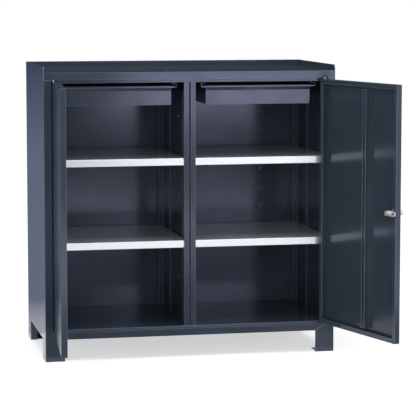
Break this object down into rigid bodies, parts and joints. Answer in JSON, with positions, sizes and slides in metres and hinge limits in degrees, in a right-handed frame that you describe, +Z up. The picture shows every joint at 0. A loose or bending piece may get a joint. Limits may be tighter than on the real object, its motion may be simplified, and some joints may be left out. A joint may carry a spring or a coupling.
{
  "type": "tool cupboard",
  "caption": "Low steel tool cupboard with a rimmed worktop, hinged double doors, shelves either side of a divider and a drawer above each.",
  "frame": {"origin": "centre of the footprint on the floor", "axes": "+Z up, the doors face -Y, +X to the right as seen from the front"},
  "size_m": [1.1251, 0.9592, 0.99],
  "materials": {
    "powder_coat": "satin powder coat",
    "galvanised_shelf": "galvanised sheet",
    "zinc_plated": "zinc plated",
    "bright_chrome": "polished",
    "lock_brass": "turned",
    "glide_plastic": "moulded",
    "buffer_rubber": "matt"
  },
  "bodies": {
    "carcass": {"back_panel": "powder_coat", "divider_front_spacer": "powder_coat", "divider_left_wall": "powder_coat", "divider_rear_spacer": "powder_coat", "divider_right_wall": "powder_coat", "door_stop_strip": "powder_coat", "floor_panel": "powder_coat", "foot_sole_plates": "powder_coat", "hinge_washers": "zinc_plated", "left_divider_front_strip": "powder_coat", "left_divider_rear_strip": "powder_coat", "left_drawer_left_runner": "powder_coat", "left_drawer_right_runner": "powder_coat", "left_front_post": "powder_coat", "left_lower_shelf": "galvanised_shelf", "left_side_front_strip": "powder_coat", "left_side_panel": "powder_coat", "left_side_rear_strip": "powder_coat", "left_upper_shelf": "galvanised_shelf", "right_divider_front_strip": "powder_coat", "right_divider_rear_strip": "powder_coat", "right_drawer_left_runner": "powder_coat", "right_drawer_right_runner": "powder_coat", "right_front_post": "powder_coat", "right_lower_shelf": "galvanised_shelf", "right_side_front_strip": "powder_coat", "right_side_panel": "powder_coat", "right_side_rear_strip": "powder_coat", "right_upper_shelf": "galvanised_shelf", "runner_hangers": "powder_coat", "runner_pads": "glide_plastic", "shelf_clips": "zinc_plated", "sill": "powder_coat", "worktop": "powder_coat"},
    "left_door": {"left_door_panel": "powder_coat", "left_door_stiffener": "powder_coat", "left_door_hinge_pins": "zinc_plated", "left_door_buffers": "buffer_rubber", "bolt_guides": "zinc_plated"},
    "left_bolt": {"left_door_bolt": "zinc_plated"},
    "right_door": {"right_door_panel": "powder_coat", "right_door_stiffener": "powder_coat", "right_door_hinge_pins": "zinc_plated", "right_door_buffers": "buffer_rubber", "lock_rosette": "bright_chrome", "lock_barrel": "lock_brass", "lock_ring_nut": "zinc_plated"},
    "lock": {"lock_knob": "bright_chrome", "lock_cam": "zinc_plated", "lock_cam_bush": "lock_brass", "lock_cam_nut": "zinc_plated"},
    "left_drawer": {"left_drawer_tray": "powder_coat", "left_drawer_front": "powder_coat", "left_drawer_glides": "glide_plastic"},
    "right_drawer": {"right_drawer_tray": "powder_coat", "right_drawer_front": "powder_coat", "right_drawer_glides": "glide_plastic"}
  },
  "joints": [
    {"name": "left_door_hinge", "type": "hinge", "parent": "carcass", "child": "left_door", "pos_m": [-0.466, -0.245, 0.52125], "axis": [0, 0, -1], "range_deg": [-94.5, 25.5]},
    {"name": "left_bolt_slide", "type": "slide", "parent": "left_door", "child": "left_bolt", "axis": [0, 0, 1], "range_m": [0, 0.012]},
    {"name": "right_door_hinge", "type": "hinge", "parent": "carcass", "child": "right_door", "pos_m": [0.466, -0.245, 0.52125], "axis": [0, 0, 1], "range_deg": [-106, 14]},
    {"name": "lock_turn", "type": "hinge", "parent": "right_door", "child": "lock", "pos_m": [0.58892, -0.65552, 0.525], "axis": [-0.9613, -0.2756, 0], "range_deg": [0, 90]},
    {"name": "left_drawer_slide", "type": "slide", "parent": "carcass", "child": "left_drawer", "axis": [0, -1, 0], "range_m": [0, 0.3]},
    {"name": "right_drawer_slide", "type": "slide", "parent": "carcass", "child": "right_drawer", "axis": [0, -1, 0], "range_m": [0, 0.3]}
  ]
}
